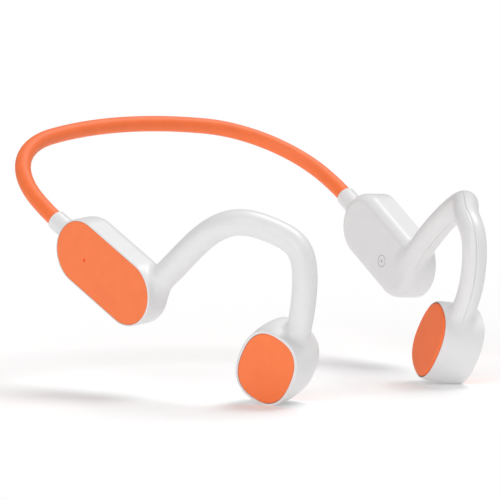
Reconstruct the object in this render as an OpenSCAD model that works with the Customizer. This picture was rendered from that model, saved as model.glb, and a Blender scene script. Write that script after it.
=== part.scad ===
// Bone conduction headphones. A sprung neckband joins two units. Each unit has a pod behind
// the ear, a hook over the ear and a round transducer that presses on the cheekbone.
// Millimetres. X runs to the wearer's left, Y to the back of the head and Z up. The origin is
// below the middle, at the height of the lowest point. The left unit is drawn, and the right
// unit is its mirror image apart from what the two pods hold.

/* [Neckband] */
// Diameter of the silicone sleeve
sleeve_d = 5.5; // [5:0.1:6]
// Radius of the bend at each corner of the neckband
bend_r = 40.3; // [39:0.1:42]
// Angle that each corner bend turns through
bend_angle = 71; // [68:0.5:73]
// Radius of the side length between a bend and its collar
side_r = 73; // [65:1:80]
// Angle that each side length turns through
side_angle = 12.2; // [11:0.1:13.5]
// Diameter of the springy nickel-titanium wire
wire_d = 1; // [0.8:0.1:1.1]
// Diameter of the cable between the pods
cable_d = 1.5; // [1.2:0.1:1.6]

/* [Pod] */
// Middle of the left pod before the model is stood on its lowest point
pod_centre = [61.2, 17.5, -5.2]; // [-20:0.1:80]
// Angle that the pod's front end turns inwards
pod_toe = 5.8; // [4:0.1:8]
// Angle that the pod's outer face tips up
pod_roll = -3.9; // [-6:0.1:0]
// Angle that the pod's front end dips
pod_pitch = 29.6; // [28:0.1:31]
// Half of the straight stretch of the pod's outline
pod_half = 12; // [11.5:0.1:13]
// Radius of the round ends of the pod's outline
pod_r = 11.4; // [11.2:0.1:12]
// Thickness of the pod
pod_t = 11.2; // [11:0.1:12]
// Thickness of the pod's walls
pod_wall = 1.3; // [1.2:0.1:1.4]
// Rounding of the edge of the pod that faces the head
pod_edge = 3.2; // [2.8:0.1:3.6]
// Width of the white rim round an inlaid cover
rim = 0.6; // [0.5:0.05:0.7]
// Diameter of the collar that holds the sleeve
collar_d = 6.9; // [6.7:0.1:7.2]
// Distance from the middle of the pod to the open end of the collar
collar_reach = 31; // [30:0.5:32]

/* [Buttons and port] */
// Diameter of a push button
button_d = 4; // [3.6:0.1:4.2]
// Travel of a push button
button_travel = 0.4; // [0.3:0.05:0.4]
// Distance between neighbouring buttons
button_pitch = 8; // [7.5:0.1:8.5]
// Height that a button stands proud of the pod
button_proud = 0.6; // [0.5:0.05:0.7]
// Width of the charging port's metal shell
port_w = 8.94; // [8.9:0.01:8.98]
// Height of the charging port's metal shell
port_h = 3.26; // [3.22:0.01:3.3]
// Length of the port's silicone flap
flap_w = 12.7; // [12.5:0.1:13]
// Width of the flap
flap_h = 4.9; // [4.7:0.1:5]

/* [Hook] */
// Radius of the hook where it leaves the pod
hook_r_pod = 4.5; // [4.3:0.1:4.6]
// Radius of the hook where it meets the transducer
hook_r_tip = 4.1; // [3.9:0.1:4.3]
// Radius of the channel along the hook
hook_channel_r = 2.2; // [2:0.1:2.3]

/* [Transducer] */
// Middle of the left transducer before the model is stood on its lowest point
transducer_centre = [37.9, -39.7, -32.2]; // [-45:0.1:40]
// Angle that the transducer's front edge turns inwards
transducer_toe = 18.9; // [17:0.1:20]
// Angle that the transducer's outer face tips up
transducer_roll = -11.7; // [-13:0.1:-10]
// Angle that the transducer's long axis leans forward
transducer_lean = 30; // [28:0.5:33]
// Half of the straight stretch of the transducer's outline
transducer_half = 2.4; // [2.2:0.1:2.6]
// Radius of the round ends of the transducer's outline
transducer_r = 10.8; // [10.7:0.1:11.2]
// Width of the white rim round the transducer's cap
cap_rim = 1.05; // [0.95:0.05:1.15]
// Distance from the transducer's middle to its outer face
transducer_out = 7.6; // [7.5:0.1:7.8]
// Distance from the transducer's middle to the skin side of its pad
transducer_in = 7.7; // [7.6:0.1:7.8]
// Thickness of the silicone pad
pad_t = 1.4; // [1.3:0.1:1.5]
// Radius of the round ends of the pad's outline
pad_r = 10.25; // [10.1:0.05:10.25]
// Travel of the vibrating pad each way
vibration = 0.2; // [0.1:0.05:0.2]

/* [Hidden] */
$fn = 48;

white = "whitesmoke";
orange = "coral";
steel = "silver";
copper = "peru";
board = "seagreen";

// Clearance between pieces that are fixed to each other
fit = 0.05;
// Depth of the cover's inlay and thickness of the gasket under it
cover_t = 0.9;
gasket_t = 0.3;
board_t = 0.8;

// The model stands on its lowest point, and its box is centred front to back
lift = 46.279;
back_shift = 17.46;

// Directions of the pod. Forward is along its horizontal heading, outward is away from the head
function forward(toe) = [-sin(toe), -cos(toe), 0];
function outward(toe) = [cos(toe), -sin(toe), 0];
function upward(toe, roll) = cos(roll) * [0, 0, 1] - sin(roll) * outward(toe);
pod_axis = cos(pod_pitch) * forward(pod_toe) - sin(pod_pitch) * upward(pod_toe, pod_roll);

// The neckband lies in one plane that holds both pods' axes. In it X is X, and Y climbs backwards
// The side arcs start inside the collars, where the sleeve ends
sleeve_insert = 3;
lead_insert = 9;
band_end = pod_centre - (collar_reach - sleeve_insert) * pod_axis;
band_tilt = atan2(-pod_axis.z, -pod_axis.y);
splay = atan2(-pod_axis.x, norm([pod_axis.y, pod_axis.z]));
// Angles round each arc's own centre, from the collar to the back of the neck
side_from = -splay;
bend_from = side_from + side_angle;
back_from = bend_from + bend_angle;
function ray(angle) = [cos(angle), sin(angle)];
side_centre = [band_end.x, 0] - side_r * ray(side_from);
bend_centre = side_centre + (side_r - bend_r) * ray(bend_from);
back_r = bend_r + bend_centre.x / cos(back_from);
back_centre = bend_centre + (bend_r - back_r) * ray(back_from);
// Heights of the wire's and the cable's channels above the middle of the sleeve
wire_offset = 1.1;
cable_offset = -1.1;

// Stations along an arc of the neckband, with the outline's Y square to the neckband's plane
function arc_stations(centre, radius, from, to, step) =
    [for (i = [0:floor((to - from) / step)])
        let (a = from + i * step) [
            [centre.x + radius * cos(a), centre.y + radius * sin(a), 0],
            [cos(a), sin(a), 0], [0, 0, 1]]];
// Tail that runs on into a pod, and the side, bend and half of the back on the left
half_stations = concat(
    [[[band_end.x + lead_insert * sin(side_from), -lead_insert * cos(side_from), 0],
        [cos(side_from), sin(side_from), 0], [0, 0, 1]]],
    arc_stations(side_centre, side_r, side_from, bend_from - 1, 4),
    arc_stations(bend_centre, bend_r, bend_from, back_from - 1, 4),
    arc_stations(back_centre, back_r, back_from, 89, 2)
);
function across_middle(v) = [-v.x, v.y, v.z];
band_stations = concat(half_stations, [for (i = [len(half_stations) - 1:-1:0])
    let (at = half_stations[i]) [across_middle(at[0]), across_middle(at[1]), [0, 0, 1]]]);

// Hook's control points, from inside the pod, over the ear, to inside the transducer
hook_path = [
    [58, 1, -10], [55, -10, 0], [54.5, -23, 10.5], [51, -35.5, 16],
    [41.5, -43.5, 11.5], [37.5, -54.5, 6.5], [37.5, -52.5, -14], [35.5, -46, -26]
];
hook_spans = len(hook_path) - 1;
hook_net = concat(
    [2 * hook_path[0] - hook_path[1]], hook_path,
    [2 * hook_path[hook_spans] - hook_path[hook_spans - 1]]
);
// Stretch of the path that the two shells cover, between the neck of the pod and of the transducer
hook_from = 0.62;
hook_to = hook_spans - 0.5;
hook_rings = 26;
seam = 0.1;

// Depths inside the pod, measured outwards from its middle plane
pod_floor = -pod_t / 2 + pod_wall;
pod_ledge = pod_t / 2 - cover_t - gasket_t;
pod_cavity_r = pod_r - pod_wall;
cover_r = pod_r - rim;
button_z = 1.3;
port_z = 1;
flap_t = 0.7;
post_x = 14;
post_y = -4;
main_board_z = -2;
charge_board_z = 2.65;
microphone_at = [-9, 1];

// Depths inside the transducer, measured outwards from its middle
bore_r = 9.1;
flange_r = 9.6;
lip_r = 8.5;
housing_in = -7.1;
plate_z = pad_t - transducer_in;
pad_pocket_z = plate_z + vibration + 0.1;
lip_z = -4.8;
flange_z = 3.9;
cap_z = 6.4;
cap_r = transducer_r - cap_rim;
spring_t = 0.2;
coil_r = 5.3;
hub_r = 3;

function unit(v) = v / norm(v);

// Weights of a uniform cubic B-spline
function spline_weights(t) =
    [pow(1 - t, 3), 3 * pow(t, 3) - 6 * pow(t, 2) + 4,
     -3 * pow(t, 3) + 3 * pow(t, 2) + 3 * t + 1, pow(t, 3)] / 6;
function hook_at(u) =
    let (i = min(floor(u), hook_spans - 1))
    spline_weights(u - i) * [for (k = [0:3]) hook_net[i + k]];
function hook_heading(u) =
    let (step = 0.01, a = max(0, u - step), b = min(hook_spans, u + step))
    unit(hook_at(b) - hook_at(a));
function hook_r(u) =
    hook_r_pod + (hook_r_tip - hook_r_pod) * (u - hook_from) / (hook_to - hook_from);
// Sideways direction across the hook, square to its heading
hook_side_hint = unit(outward((pod_toe + transducer_toe) / 2));
function hook_side(u) =
    let (t = hook_heading(u))
    unit(hook_side_hint - (hook_side_hint * t) * t);

module stand() translate([0, -back_shift, lift]) children();
module left() stand() children();
module right() stand() mirror([1, 0, 0]) children();
// Pod frame: X towards the hook along the pod, Y down across it, Z away from the head
module in_pod()
    translate(pod_centre) rotate([pod_pitch, -pod_roll, -pod_toe])
    rotate([-90, 0, -90]) children();
// Transducer frame: X up its long axis, Z away from the head
module in_transducer()
    translate(transducer_centre) rotate([0, -transducer_roll, -transducer_toe])
    rotate([-90, 0, -90]) rotate([0, 0, transducer_lean - 90]) children();
module in_band()
    translate([0, band_end.y, band_end.z]) rotate([band_tilt, 0, 0]) children();

// Solid whose outline is a slot of half length `half`. The children are half of its cross
// section, in radius and height
module slot_solid(half) {
    for (side = [-1, 1]) translate([side * half, 0, 0]) rotate_extrude() children();
    rotate([90, 0, 90]) translate([0, 0, -half]) linear_extrude(2 * half) {
        children();
        mirror([1, 0]) children();
    }
}
// Flat-sided slot of outline radius r between two heights
module slot_prism(half, r, from, to)
    slot_solid(half) translate([0, from]) square([r, to - from]);
// Half cross section with its lower corner rounded by `low` and its upper corner by `high`
module rounded_half(r, from, to, low, high) {
    translate([0, from + low]) square([r, to - from - low - high]);
    translate([0, from]) square([r - low, low + fit]);
    translate([r - low, from + low]) circle(low);
    translate([0, to - high - fit]) square([r - high, high + fit]);
    translate([r - high, to - high]) circle(high);
}
// Straight round bar from a to b
module bar(a, b, r) {
    d = b - a;
    translate(a) rotate([0, acos(d.z / norm(d)), atan2(d.y, d.x)]) cylinder(r = r, h = norm(d));
}
// Ring between two radii
module tube(outer_r, inner_r, from, to)
    translate([0, 0, from]) difference() {
        cylinder(r = outer_r, h = to - from);
        translate([0, 0, -1]) cylinder(r = inner_r, h = to - from + 2);
    }
module block(low, high) translate(low) cube(high - low);
// Outline of a round lead, `offset` across from the station that carries it
function round_lead(r, offset) = [for (a = [0:45:315]) [r * cos(a), offset + r * sin(a)]];
// Solid that carries a closed outline along a row of stations. A station is a point, the
// directions of the outline's X and Y there, and any value that the outline depends on
module sweep(stations, outline) {
    rows = [for (at = stations) [for (p = outline(at)) at[0] + p.x * at[1] + p.y * at[2]]];
    rings = len(rows) - 1;
    n = len(rows[0]);
    walls = [for (i = [0:rings - 1], j = [0:n - 1])
        let (a = i * n + j, b = i * n + (j + 1) % n) each [[a, b + n, b], [a, a + n, b + n]]];
    ends = [[for (j = [0:n - 1]) j], [for (j = [n - 1:-1:0]) rings * n + j]];
    polyhedron(points = [for (row = rows) each row], faces = concat(walls, ends));
}

// Neckband ------------------------------------------------------------------------------

// Arc of the neckband's centreline that carries the children as its cross section
module band_arc(centre, radius, from, to)
    translate([centre.x, centre.y, 0]) rotate([0, 0, from])
    rotate_extrude(angle = to - from, $fn = 96) translate([radius, 0]) children();
module sleeve_section() difference() {
    circle(d = sleeve_d);
    translate([0, wire_offset]) circle(d = wire_d + 2 * fit, $fn = 24);
    translate([0, cable_offset]) circle(d = cable_d + 2 * fit, $fn = 24);
}
module sleeve_bend() color(orange) in_band()
    band_arc(bend_centre, bend_r, bend_from, back_from) sleeve_section();
module sleeve_side() color(orange) in_band()
    band_arc(side_centre, side_r, side_from, bend_from) sleeve_section();
// One lead all the way round the neckband and into both pods
module band_lead(diameter, offset) in_band() sweep(
    band_stations, function(station) round_lead(diameter / 2, offset));

module sleeve_back() color(orange) left() in_band()
    band_arc(back_centre, back_r, back_from, 180 - back_from) sleeve_section();
module left_sleeve_bend() left() sleeve_bend();
module right_sleeve_bend() right() sleeve_bend();
module left_sleeve_side() left() sleeve_side();
module right_sleeve_side() right() sleeve_side();
module band_wire() color(steel) stand() band_lead(wire_d, wire_offset);
module band_cable() color("dimgray") stand() band_lead(cable_d, cable_offset);

// Pod -----------------------------------------------------------------------------------

// Bar along the pod's axis through the wall that faces the neckband
module along_pod(from, to, r)
    translate([-from, 0, 0]) rotate([0, 90, 0]) cylinder(r = r, h = from - to);
module collar() color(white) in_pod() difference() {
    along_pod(collar_reach, pod_half + pod_cavity_r - 1.6, collar_d / 2);
    along_pod(collar_reach + 1, collar_reach - sleeve_insert, sleeve_d / 2 + 0.15);
    along_pod(collar_reach, pod_half, 2);
}
// Neck of a housing where the hook joins it, square to the hook's heading at u
module neck(u, length, r)
    bar(hook_at(u) - length * hook_heading(u), hook_at(u), r);
module pod_shell() difference() {
    union() {
        in_pod() slot_solid(pod_half) rounded_half(pod_r, -pod_t / 2, pod_t / 2, pod_edge, 0.4);
        neck(hook_from - 0.01, 9, hook_r(hook_from));
    }
    in_pod() {
        slot_solid(pod_half)
            rounded_half(pod_cavity_r, pod_floor, pod_t, pod_edge - pod_wall, 0.4);
        slot_prism(pod_half, cover_r + fit, pod_ledge, pod_t);
        along_pod(collar_reach, pod_half, collar_d / 2 + fit);
    }
    neck(hook_from, 11, hook_channel_r);
}
// Posts that a circuit board is screwed down to
module posts(top) for (side = [-1, 1]) translate([side * post_x, post_y, pod_floor - fit])
    difference() {
        cylinder(r = 1.6, h = top - pod_floor + fit);
        translate([0, 0, 0.8]) cylinder(r = 0.7, h = top - pod_floor);
    }
module post_screws(top) color(steel) in_pod() for (side = [-1, 1])
    translate([side * post_x, post_y, top]) {
        translate([0, 0, board_t]) cylinder(r = 1.2, h = 0.6);
        translate([0, 0, -1.2]) cylinder(r = 0.65, h = 1.2 + board_t + 0.1);
    }
module screw_holes(from) for (side = [-1, 1]) translate([side * post_x, post_y, from - 1])
    cylinder(r = 0.75, h = board_t + 2);
module pod_gasket() color("gray") in_pod() difference() {
    slot_prism(pod_half, cover_r - fit, pod_ledge, pod_ledge + gasket_t);
    slot_prism(pod_half, pod_cavity_r + fit, pod_ledge - 1, pod_ledge + 1);
}
module cover_plate() slot_solid(pod_half)
    rounded_half(cover_r, pod_t / 2 - cover_t, pod_t / 2, 0.1, 0.3);

// Holes in line along the pod's lower edge, at the buttons
module at_buttons(places) for (i = places)
    translate([i * button_pitch, 0, button_z]) rotate([-90, 0, 0]) children();
module right_pod_housing() color(white) right() difference() {
    union() {
        pod_shell();
        in_pod() posts(main_board_z);
    }
    in_pod() at_buttons([-1, 0, 1])
        translate([0, 0, pod_cavity_r - 1]) cylinder(d = button_d + 0.2, h = 4);
}
module left_pod_housing() color(white) left() difference() {
    union() {
        pod_shell();
        in_pod() posts(charge_board_z);
    }
    in_pod() {
        port_outline(port_w + 0.16, port_h + 0.14, pod_cavity_r - 1, pod_r + 1);
        block([-flap_w / 2 - 0.25, pod_r - flap_t, port_z - flap_h / 2 - 0.2],
              [flap_w / 2 + 0.25, pod_r + 1, port_z + flap_h / 2 + 0.2]);
    }
}
// Slot-shaped prism across the lower edge of the left pod
module port_outline(w, h, from, to)
    translate([0, 0, port_z]) rotate([-90, 0, 0]) slot_prism((w - h) / 2, h / 2, from, to);

module left_pod_gasket() left() pod_gasket();
module right_pod_gasket() right() pod_gasket();
module left_collar() left() collar();
module right_collar() right() collar();
module left_pod_cover() color(orange) left() in_pod() cover_plate();
module right_pod_cover() color(orange) right() in_pod() difference() {
    cover_plate();
    translate([microphone_at.x, microphone_at.y, 0]) cylinder(r = 0.55, h = pod_t);
}

// Right pod: radio, microphone and buttons
board_from = [-17, -8];
board_to = [17, 5];
module board_plate(z) difference() {
    block([board_from.x, board_from.y, z], [board_to.x, board_to.y, z + board_t]);
    screw_holes(z);
    // Corners cut back to clear the pod's round ends
    for (x = [board_from.x, board_to.x])
        translate([x, board_from.y, z - 1]) cylinder(r = 3, h = board_t + 2);
}
module main_board() color(board) right() in_pod() board_plate(main_board_z);
module main_board_screws() right() post_screws(main_board_z);
module bluetooth_module() color(steel) right() in_pod()
    block([-4, -6, main_board_z + board_t], [9, 4, main_board_z + board_t + 1.7]);
module microphone() color("goldenrod") right() in_pod() difference() {
    translate([microphone_at.x - 1.8, microphone_at.y - 1.4, main_board_z + board_t])
        cube([3.6, 2.8, 1]);
    translate([microphone_at.x, microphone_at.y, main_board_z + board_t + 0.5])
        cylinder(r = 0.4, h = 1);
}
module microphone_boot() color("dimgray") right() in_pod()
    translate([microphone_at.x, microphone_at.y, 0])
    tube(1.4, 0.6, main_board_z + board_t + 1, pod_t / 2 - cover_t);
switch_face = 8.2;
module button_board() color(board) right() in_pod()
    block([-12, 6.2, button_z - 3], [12, 6.2 + board_t, button_z + 3]);
module button_switches() color("black") right() in_pod() at_buttons([-1, 0, 1]) {
    block([-1.7, -1.5, 6.2 + board_t], [1.7, 1.5, switch_face - 0.4]);
    translate([0, 0, switch_face - 0.5]) cylinder(r = 0.8, h = 0.5);
}
// A button rests clear of its switch, with a flange that stops it from falling out
module button(place) color(white) right() in_pod() at_buttons([place]) {
    translate([0, 0, switch_face + button_travel + 0.05]) cylinder(r = 0.8, h = 1);
    translate([0, 0, pod_cavity_r - 1]) cylinder(d = button_d + 1.2, h = 0.7);
    translate([0, 0, pod_cavity_r - 0.4])
        cylinder(d = button_d, h = pod_wall + 0.4 + button_proud - 0.3);
    translate([0, 0, pod_r + button_proud - 0.3])
        cylinder(d1 = button_d, d2 = button_d - 0.6, h = 0.3);
}
module volume_down_button() button(-1);
module power_button() button(0);
module volume_up_button() button(1);

// Left pod: battery and charging port
battery_high = charge_board_z - 1;
module battery() color(steel) left() in_pod()
    block([-12, -8, pod_floor + 0.1], [12, 2.4, battery_high]);
module charge_board() color(board) left() in_pod() board_plate(charge_board_z);
module charge_board_screws() left() post_screws(charge_board_z);
module usb_receptacle() color(steel) left() in_pod() {
    difference() {
        port_outline(port_w, port_h, 3.4, pod_r - flap_t - fit);
        port_outline(port_w - 0.6, port_h - 0.7, 4, pod_r + 1);
    }
    // Contact tongue
    block([-3.3, 3.9, port_z - 0.35], [3.3, pod_r - flap_t - 1.3, port_z + 0.35]);
}
// Flap that fills the recess, with a plug that enters the port. It turns about its rear end
flap_axis_x = -flap_w / 2 + flap_t / 2;
module port_flap() color(white) left() in_pod() {
    translate([flap_axis_x, pod_r - flap_t / 2, port_z - flap_h / 2])
        cylinder(d = flap_t, h = flap_h);
    block([flap_axis_x, pod_r - flap_t, port_z - flap_h / 2],
          [flap_w / 2, pod_r, port_z + flap_h / 2]);
    port_outline(7.9, 2.2, pod_r - flap_t - 0.9, pod_r - 0.1);
}

// Hook ----------------------------------------------------------------------------------

// Stations along the hook between two of its path values
function hook_stations(from, to, rings) = [for (i = [0:rings]) let (
    u = from + (to - from) * i / rings,
    side = hook_side(u)
) [hook_at(u), side, cross(hook_heading(u), side), u]];
// Half of a round tube on one side of the seam, which is +1 for the side away from the head
function half_tube(r, side) = concat(
    [for (a = [-90:18:90]) [side * (r * cos(a) + seam / 2), r * sin(a)]],
    [for (a = [90:-30:-90]) [side * (hook_channel_r * cos(a) + seam / 2), hook_channel_r * sin(a)]]
);
function reversed(list) = [for (i = [len(list) - 1:-1:0]) list[i]];
shell_stations = hook_stations(hook_from + 0.005, hook_to, hook_rings);
module hook_outer_shell() color(white)
    sweep(shell_stations, function(station) half_tube(hook_r(station[3]), 1));
module hook_inner_shell() color(white)
    sweep(shell_stations, function(station) reversed(half_tube(hook_r(station[3]), -1)));
lead_stations = hook_stations(0.4, hook_spans - 0.25, hook_rings);
module hook_wire() color(steel) sweep(lead_stations, function(station) round_lead(0.7, 1));
module hook_cable() color("dimgray")
    sweep(lead_stations, function(station) round_lead(0.6, -0.9));

module left_hook_outer_shell() left() hook_outer_shell();
module right_hook_outer_shell() right() hook_outer_shell();
module left_hook_inner_shell() left() hook_inner_shell();
module right_hook_inner_shell() right() hook_inner_shell();
module left_hook_wire() left() hook_wire();
module right_hook_wire() right() hook_wire();
module left_hook_cable() left() hook_cable();
module right_hook_cable() right() hook_cable();

// Transducer ----------------------------------------------------------------------------

module transducer_housing() color(white) difference() {
    union() {
        in_transducer() slot_solid(transducer_half)
            rounded_half(transducer_r, housing_in, transducer_out, 0.2, 0.4);
        neck(hook_to + 0.01, -9, hook_r(hook_to));
    }
    in_transducer() {
        slot_prism(transducer_half, pad_r + 0.1, -transducer_r, pad_pocket_z);
        translate([0, 0, pad_pocket_z - 1]) cylinder(r = lip_r, h = 2 * transducer_r);
        translate([0, 0, lip_z]) cylinder(r = bore_r, h = 2 * transducer_r);
        translate([0, 0, flange_z]) cylinder(r = flange_r, h = 2 * transducer_r);
        slot_prism(transducer_half, cap_r + fit, cap_z, 2 * transducer_r);
    }
    neck(hook_to, -8, hook_channel_r);
}
module transducer_cap() color(orange) in_transducer() slot_solid(transducer_half)
    rounded_half(cap_r, cap_z, transducer_out, 0.1, 0.3);
// Steel cup with a flange that rests on a ledge in the housing
yoke_r = 7.5;
gap_r = 6;
yoke_floor = flange_z - 0.4;
module yoke() color(steel) in_transducer() {
    tube(yoke_r, gap_r, -2.5, yoke_floor + fit);
    translate([0, 0, yoke_floor]) cylinder(r = yoke_r, h = 1.3);
    translate([0, 0, flange_z]) cylinder(r = flange_r - fit, h = 0.9);
}
pole_z = 0.2;
module magnet() color("dimgray") in_transducer()
    translate([0, 0, pole_z]) cylinder(r = 3.6, h = yoke_floor - pole_z);
module pole_plate() color(steel) in_transducer()
    translate([0, 0, pole_z - 1.6]) cylinder(r = 3.8, h = 1.6);
// Winding on a bobbin, fixed to the hub of the spring plate
coil_z = lip_z + spring_t;
module voice_coil() color(copper) in_transducer() {
    translate([0, 0, coil_z]) cylinder(r = coil_r, h = 0.6);
    tube(coil_r, 4.3, coil_z + 0.5, -0.8);
}
// Flat spring: a rim on the housing's lip, a hub under the coil, and three curved arms
arm_r = [4.6, 6.2];
module spring_plate() color(steel) in_transducer() difference() {
    translate([0, 0, lip_z]) cylinder(r = bore_r - fit, h = spring_t);
    for (i = [0:2], ring = [0, 1]) translate([0, 0, lip_z - 1]) rotate([0, 0, 120 * i + 60 * ring])
        rotate_extrude(angle = 100) translate([arm_r[ring], 0]) square([1.2, 2]);
}
// Plate in the mouth of the housing that carries the pad and stands on the hub of the spring
module vibration_plate() color(white) in_transducer() {
    translate([0, 0, plate_z]) cylinder(r = lip_r - 0.4, h = 1);
    translate([0, 0, plate_z + 0.9]) cylinder(r = hub_r, h = lip_z - plate_z - 0.9);
}
module vibration_pad() color(orange) in_transducer() slot_solid(transducer_half)
    rounded_half(pad_r, -transducer_in, plate_z, 0.5, 0.2);

module left_transducer_housing() left() transducer_housing();
module right_transducer_housing() right() transducer_housing();
module left_transducer_cap() left() transducer_cap();
module right_transducer_cap() right() transducer_cap();
module left_yoke() left() yoke();
module right_yoke() right() yoke();
module left_magnet() left() magnet();
module right_magnet() right() magnet();
module left_pole_plate() left() pole_plate();
module right_pole_plate() right() pole_plate();
module left_voice_coil() left() voice_coil();
module right_voice_coil() right() voice_coil();
module left_spring_plate() left() spring_plate();
module right_spring_plate() right() spring_plate();
module left_vibration_plate() left() vibration_plate();
module right_vibration_plate() right() vibration_plate();
module left_vibration_pad() left() vibration_pad();
module right_vibration_pad() right() vibration_pad();

sleeve_back();
left_sleeve_bend();
right_sleeve_bend();
left_sleeve_side();
right_sleeve_side();
band_wire();
band_cable();
left_collar();
right_collar();
left_pod_housing();
right_pod_housing();
left_pod_gasket();
right_pod_gasket();
left_pod_cover();
right_pod_cover();
left_hook_outer_shell();
right_hook_outer_shell();
left_hook_inner_shell();
right_hook_inner_shell();
left_hook_wire();
right_hook_wire();
left_hook_cable();
right_hook_cable();
left_transducer_housing();
right_transducer_housing();
left_transducer_cap();
right_transducer_cap();
left_yoke();
right_yoke();
left_magnet();
right_magnet();
left_pole_plate();
right_pole_plate();
left_voice_coil();
right_voice_coil();
left_spring_plate();
right_spring_plate();
left_vibration_plate();
right_vibration_plate();
left_vibration_pad();
right_vibration_pad();
main_board();
main_board_screws();
bluetooth_module();
microphone();
microphone_boot();
button_board();
button_switches();
volume_down_button();
power_button();
volume_up_button();
battery();
charge_board();
charge_board_screws();
usb_receptacle();
port_flap();
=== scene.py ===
import bpy
import numpy as np
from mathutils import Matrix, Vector


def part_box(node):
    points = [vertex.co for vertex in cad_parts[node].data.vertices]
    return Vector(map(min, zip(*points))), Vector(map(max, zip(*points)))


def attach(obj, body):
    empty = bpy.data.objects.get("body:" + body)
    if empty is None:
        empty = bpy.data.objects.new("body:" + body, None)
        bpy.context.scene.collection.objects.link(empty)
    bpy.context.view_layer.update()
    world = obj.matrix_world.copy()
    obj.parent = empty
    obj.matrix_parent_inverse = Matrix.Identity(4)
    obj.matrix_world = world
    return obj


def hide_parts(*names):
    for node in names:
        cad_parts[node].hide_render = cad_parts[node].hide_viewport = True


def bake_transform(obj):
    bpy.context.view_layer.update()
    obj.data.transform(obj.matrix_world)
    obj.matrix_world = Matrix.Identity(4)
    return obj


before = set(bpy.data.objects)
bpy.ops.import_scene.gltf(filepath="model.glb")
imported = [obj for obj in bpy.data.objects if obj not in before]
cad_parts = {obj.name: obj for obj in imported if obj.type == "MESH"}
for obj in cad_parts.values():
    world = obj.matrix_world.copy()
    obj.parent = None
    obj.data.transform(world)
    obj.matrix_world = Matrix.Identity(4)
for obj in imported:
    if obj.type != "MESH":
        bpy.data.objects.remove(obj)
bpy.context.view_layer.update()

MM = 0.001
# Where the model's own origin stands in the row frame, in millimetres
STAND = np.array([0, -17.46, 46.279])


# Camera, floor and light -----------------------------------------------------------------

def add_camera():
    """Long lens from the front right, a little above the object."""
    target = Vector((-0.01641, -0.01746, 0.046279))
    back = Vector((-0.63884, -0.76192, 0.10748))
    distance = 1.6504
    data = bpy.data.cameras.new("camera")
    data.lens, data.sensor_width = 351.8, 36
    data.clip_start, data.clip_end = 0.05, 60
    camera = bpy.data.objects.new("camera", data)
    camera.location = target + distance * back
    camera.rotation_euler = back.to_track_quat("Z", "Y").to_euler()
    bpy.context.scene.collection.objects.link(camera)
    bpy.context.scene.camera = camera


def add_sun(name, source, strength, softness):
    """Even light over the whole floor. softness is the width of the source, in radians."""
    data = bpy.data.lights.new(name, "SUN")
    data.energy, data.angle = strength, softness
    sun = bpy.data.objects.new(name, data)
    sun.rotation_euler = Vector(source).to_track_quat("Z", "Y").to_euler()
    bpy.context.scene.collection.objects.link(sun)


def add_studio():
    """Pale floor under an even sky, a soft high key light and a lower light from the front."""
    scene = bpy.context.scene
    scene.view_settings.view_transform = "Standard"
    world = bpy.data.worlds.new("studio")
    world.use_nodes = True
    world.node_tree.nodes["Background"].inputs["Color"].default_value = (1, 1, 1, 1)
    world.node_tree.nodes["Background"].inputs["Strength"].default_value = 0.36
    scene.world = world
    add_sun("key", (0.45, -0.05, 1), 1.75, 0.6)
    add_sun("front", (-0.9, -0.5, 0.45), 1.05, 0.8)
    bpy.ops.mesh.primitive_plane_add(size=16)
    floor = bpy.context.object
    floor.name = "studio_floor"
    pale = surface("studio_floor", (0.8, 0.8, 0.8), 0.9, 0.004, 3, 40, 0.01)
    glow = pale.node_tree.nodes["Principled BSDF"].inputs
    glow["Specular IOR Level"].default_value = 0
    glow["Emission Color"].default_value = (1, 1, 1, 1)
    glow["Emission Strength"].default_value = 0.2
    floor.data.materials.append(pale)


# Materials -------------------------------------------------------------------------------

def surface(name, colour, roughness, variation, patch, grain, bump, metallic=0.0, coat=0.0):
    """Moulded or rolled finish: soft patches of colour and gloss, and a fine grain in the bump.
    patch and grain are counts per metre."""
    material = bpy.data.materials.new(name)
    material.use_nodes = True
    tree = material.node_tree
    shader = tree.nodes["Principled BSDF"]
    shader.inputs["Metallic"].default_value = metallic
    shader.inputs["Coat Weight"].default_value = coat
    shader.inputs["Coat Roughness"].default_value = 0.12
    place = tree.nodes.new("ShaderNodeTexCoord")
    patches = tree.nodes.new("ShaderNodeTexNoise")
    patches.inputs["Scale"].default_value = patch
    patches.inputs["Detail"].default_value = 5
    grains = tree.nodes.new("ShaderNodeTexNoise")
    grains.inputs["Scale"].default_value = grain
    grains.inputs["Detail"].default_value = 3
    for node in (patches, grains):
        tree.links.new(place.outputs["Object"], node.inputs["Vector"])
    shades = tree.nodes.new("ShaderNodeValToRGB")
    low, high = [tuple(min(1, c * (1 + side * variation)) for c in colour) + (1,) for side in (-1, 1)]
    shades.color_ramp.elements[0].position, shades.color_ramp.elements[1].position = 0.3, 0.7
    shades.color_ramp.elements[0].color, shades.color_ramp.elements[1].color = low, high
    tree.links.new(patches.outputs["Fac"], shades.inputs["Fac"])
    tree.links.new(shades.outputs["Color"], shader.inputs["Base Color"])
    gloss = tree.nodes.new("ShaderNodeMapRange")
    gloss.inputs["To Min"].default_value = roughness - 0.05
    gloss.inputs["To Max"].default_value = roughness + 0.05
    tree.links.new(grains.outputs["Fac"], gloss.inputs["Value"])
    tree.links.new(gloss.outputs["Result"], shader.inputs["Roughness"])
    relief = tree.nodes.new("ShaderNodeBump")
    relief.inputs["Strength"].default_value = bump
    relief.inputs["Distance"].default_value = 0.0001
    tree.links.new(grains.outputs["Fac"], relief.inputs["Height"])
    tree.links.new(relief.outputs["Normal"], shader.inputs["Normal"])
    return material


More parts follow.
